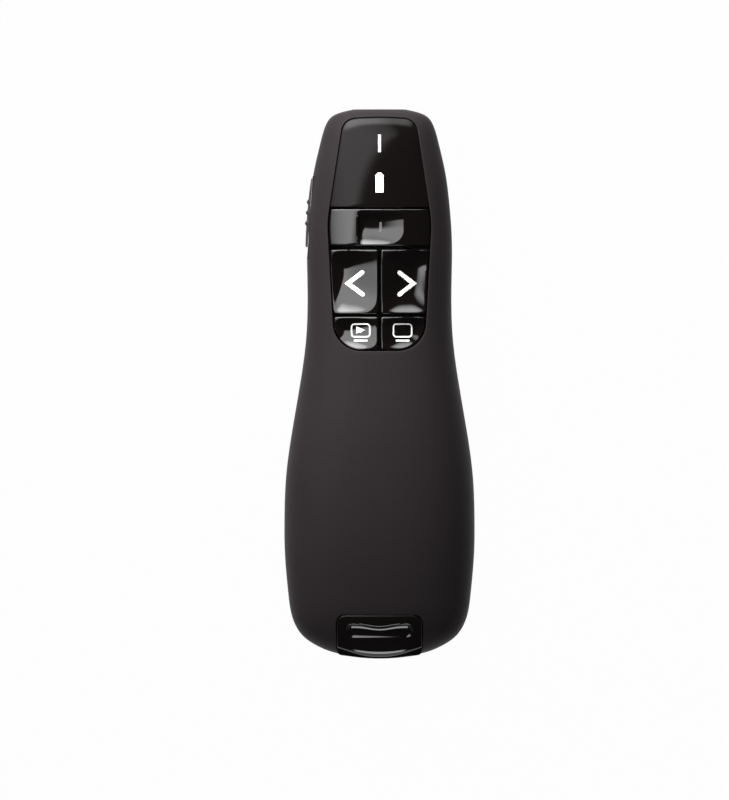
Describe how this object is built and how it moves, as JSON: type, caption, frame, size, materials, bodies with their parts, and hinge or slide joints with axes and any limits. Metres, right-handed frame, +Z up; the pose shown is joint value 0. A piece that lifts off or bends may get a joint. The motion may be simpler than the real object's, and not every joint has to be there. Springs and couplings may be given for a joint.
{
  "type": "wireless presentation clicker",
  "caption": "Hand-held slide clicker with a waisted soft-touch case, gloss keys, a laser nose, a side power slider and a stowed plug-in receiver in its tail.",
  "frame": {"origin": "centre of the whole object's box, on the surface that it lies on", "axes": "+Z up out of the key face, +Y towards the laser nose, +X to the right seen from above with the nose away"},
  "size_m": [0.04, 0.1155, 0.027],
  "materials": {
    "soft_touch_black": "soft-touch satin paint",
    "gloss_black": "piano gloss",
    "moulded_black": "fine moulded texture",
    "light_guide_white": "smooth white",
    "switch_grey": "moulded",
    "plated_steel": "nickel plated",
    "barrel_brass": "turned",
    "clear_lens": "polished",
    "smoked_window": "polished smoked red",
    "board_green": "solder mask",
    "can_aluminium": "satin",
    "battery_sleeve": "printed sleeve",
    "plug_nickel": "bright nickel",
    "contact_gold": "gold plated"
  },
  "bodies": {
    "housing": {"upper_shell": "soft_touch_black", "lower_shell": "soft_touch_black", "battery_tray": "moulded_black", "indicator_plate": "gloss_black", "laser_light_guide": "light_guide_white", "battery_light_guide": "light_guide_white", "tact_switch_bodies": "moulded_black", "slide_switch_body": "plated_steel", "laser_barrel": "barrel_brass", "laser_lens": "clear_lens", "laser_diode": "plated_steel", "laser_window": "smoked_window", "main_board": "board_green", "indicator_leds": "light_guide_white", "radio_chip": "moulded_black", "crystal": "plated_steel", "capacitor": "can_aluminium", "left_battery": "battery_sleeve", "right_battery": "battery_sleeve", "battery_springs": "plated_steel", "battery_contacts": "plated_steel", "housing_screws": "plated_steel"},
    "laser_button": {"laser_key": "gloss_black", "laser_plunger": "switch_grey"},
    "back_button": {"back_key": "gloss_black", "back_plunger": "switch_grey"},
    "forward_button": {"forward_key": "gloss_black", "forward_plunger": "switch_grey"},
    "slideshow_button": {"slideshow_key": "gloss_black", "slideshow_plunger": "switch_grey"},
    "blank_screen_button": {"blank_screen_key": "gloss_black", "blank_screen_plunger": "switch_grey"},
    "power_switch": {"power_switch_knob": "gloss_black", "slide_switch_lever": "moulded_black"},
    "battery_cover": {"battery_door": "soft_touch_black"},
    "receiver": {"receiver_case_top": "gloss_black", "receiver_case_bottom": "gloss_black", "receiver_board": "board_green", "receiver_chip": "moulded_black", "usb_plug_shell": "plug_nickel", "usb_tongue": "moulded_black", "usb_contacts": "contact_gold"}
  },
  "joints": [
    {"name": "laser_press", "type": "slide", "parent": "housing", "child": "laser_button", "axis": [0, 0, -1], "range_m": [0, 0.0005], "stiffness_N_per_m": 2500, "springref_m": -0.0002},
    {"name": "back_press", "type": "slide", "parent": "housing", "child": "back_button", "axis": [0, 0, -1], "range_m": [0, 0.0005], "stiffness_N_per_m": 2500, "springref_m": -0.0002},
    {"name": "forward_press", "type": "slide", "parent": "housing", "child": "forward_button", "axis": [0, 0, -1], "range_m": [0, 0.0005], "stiffness_N_per_m": 2500, "springref_m": -0.0002},
    {"name": "slideshow_press", "type": "slide", "parent": "housing", "child": "slideshow_button", "axis": [0, 0, -1], "range_m": [0, 0.0005], "stiffness_N_per_m": 2500, "springref_m": -0.0002},
    {"name": "blank_screen_press", "type": "slide", "parent": "housing", "child": "blank_screen_button", "axis": [0, 0, -1], "range_m": [0, 0.0005], "stiffness_N_per_m": 2500, "springref_m": -0.0002},
    {"name": "power_switch_slide", "type": "slide", "parent": "housing", "child": "power_switch", "axis": [-0.0695, -0.9976, 0], "range_m": [0, 0.002]},
    {"name": "battery_door_slide", "type": "slide", "parent": "housing", "child": "battery_cover", "axis": [0, -1, 0], "range_m": [0, 0.044]},
    {"name": "receiver_slide", "type": "slide", "parent": "housing", "child": "receiver", "axis": [0, -1, 0], "range_m": [0, 0.045]}
  ]
}
